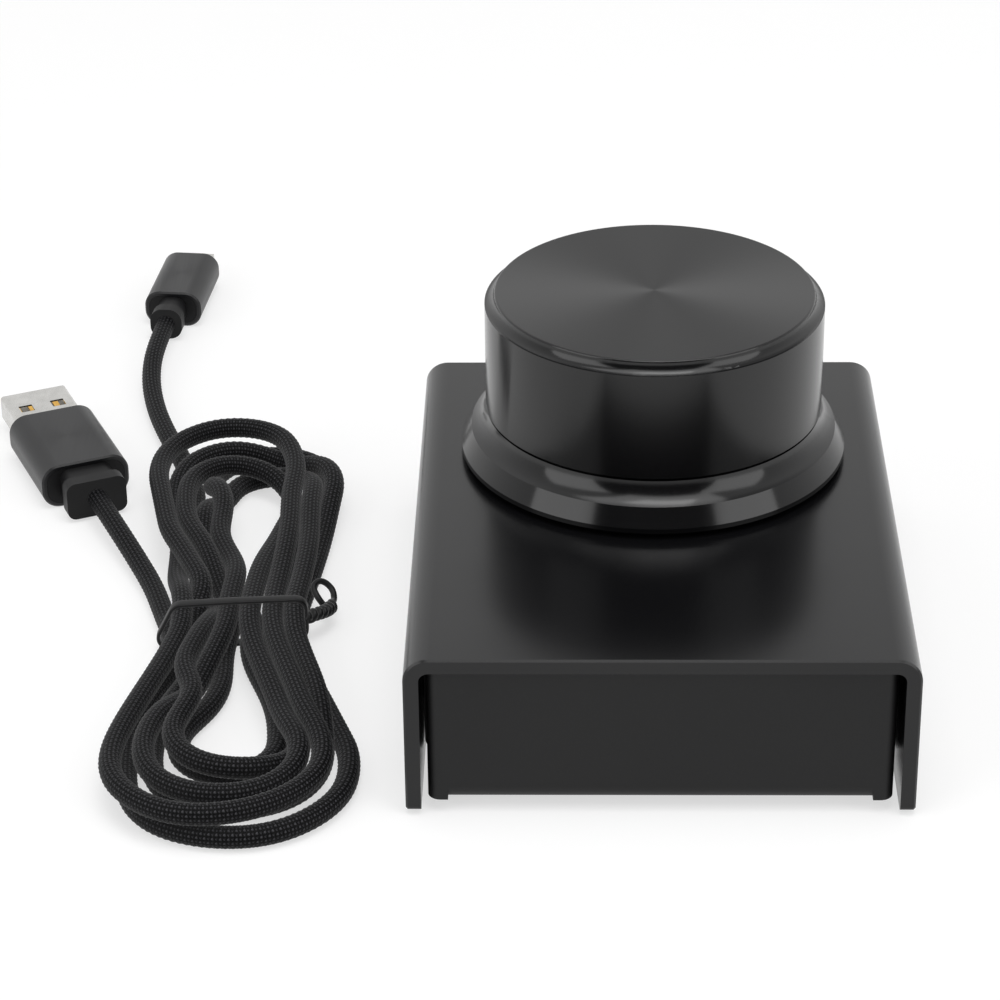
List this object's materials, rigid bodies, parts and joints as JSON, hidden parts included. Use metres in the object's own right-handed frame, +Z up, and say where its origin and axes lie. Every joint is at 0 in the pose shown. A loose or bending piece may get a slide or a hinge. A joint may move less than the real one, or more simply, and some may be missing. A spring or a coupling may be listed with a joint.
{
  "type": "usb volume control knob",
  "caption": "Desktop volume knob: a large turned metal knob that turns endlessly and presses, on a low folded metal case, with its unplugged braided cable tied beside it.",
  "frame": {"origin": "on the table under the middle of the case, at the bottom of its feet", "axes": "+Z up, +Y to the rear of the case where the socket is, +X to the right seen from the front"},
  "size_m": [0.1529, 0.2003, 0.0545],
  "materials": {
    "case_aluminium": "black anodised, fine blasted satin",
    "chassis_aluminium": "black anodised, satin",
    "knob_aluminium": "black anodised, fine turned finish",
    "foot_rubber": "matte black rubber",
    "screw_steel": "blackened steel",
    "plated_steel": "nickel plated",
    "post_brass": "plain brass",
    "contact_gold": "gold plated contacts",
    "board": "green solder mask",
    "black_plastic": "moulded black plastic",
    "capacitor": "tan ceramic",
    "pale_plastic": "off-white moulded plastic",
    "plug_plastic": "dark moulded plastic",
    "sleeve_aluminium": "dark grey anodised, satin",
    "braid": "black nylon braid",
    "tie_plastic": "black plastic-covered wire"
  },
  "bodies": {
    "base": {"board_capacitors": "capacitor", "board_posts": "post_brass", "board_screws": "screw_steel", "chassis": "chassis_aluminium", "circuit_board": "board", "controller_chip": "black_plastic", "cord_hank": "braid", "cord_micro_end": "braid", "cord_plug_end": "braid", "cover": "case_aluminium", "crystal": "plated_steel", "detent_spring": "plated_steel", "encoder_bushing": "post_brass", "encoder_housing": "black_plastic", "encoder_nut": "plated_steel", "encoder_pins": "plated_steel", "encoder_strap": "plated_steel", "foot_front_left": "foot_rubber", "foot_front_right": "foot_rubber", "foot_rear_left": "foot_rubber", "foot_rear_right": "foot_rubber", "lock_washer": "plated_steel", "micro_moulding": "plug_plastic", "micro_shell": "plated_steel", "micro_sleeve": "sleeve_aluminium", "micro_tongue": "black_plastic", "plug_contacts": "contact_gold", "plug_moulding": "plug_plastic", "plug_shell": "plated_steel", "plug_sleeve": "sleeve_aluminium", "plug_tongue": "pale_plastic", "port_shell": "plated_steel", "port_tongue": "black_plastic", "side_screws": "screw_steel", "switch_dome": "plated_steel", "wire_tie": "tie_plastic"},
    "plunger": {"switch_plunger": "black_plastic"},
    "knob": {"knob_cap": "knob_aluminium", "knob_insert": "post_brass", "knob_skirt": "knob_aluminium", "skirt_screws": "screw_steel", "encoder_shaft": "plated_steel", "shaft_clip": "plated_steel"},
    "wheel": {"detent_wheel": "black_plastic"}
  },
  "joints": [
    {"name": "knob_press", "type": "slide", "parent": "base", "child": "plunger", "axis": [0, 0, -1], "range_m": [0, 0.0005], "stiffness_N_per_m": 5000, "springref_m": -0.0005, "deforming": ["switch_dome"]},
    {"name": "knob_turn", "type": "hinge", "parent": "plunger", "child": "knob", "pos_m": [0, 0.0177, 0.03], "axis": [0, 0, 1], "continuous": true},
    {"name": "wheel_turn", "type": "hinge", "parent": "base", "child": "wheel", "pos_m": [0, 0.0177, 0.0209], "axis": [0, 0, 1], "continuous": true}
  ],
  "couplings": [
    {"joint": "wheel_turn", "follows": "knob_turn", "ratio": 1}
  ]
}
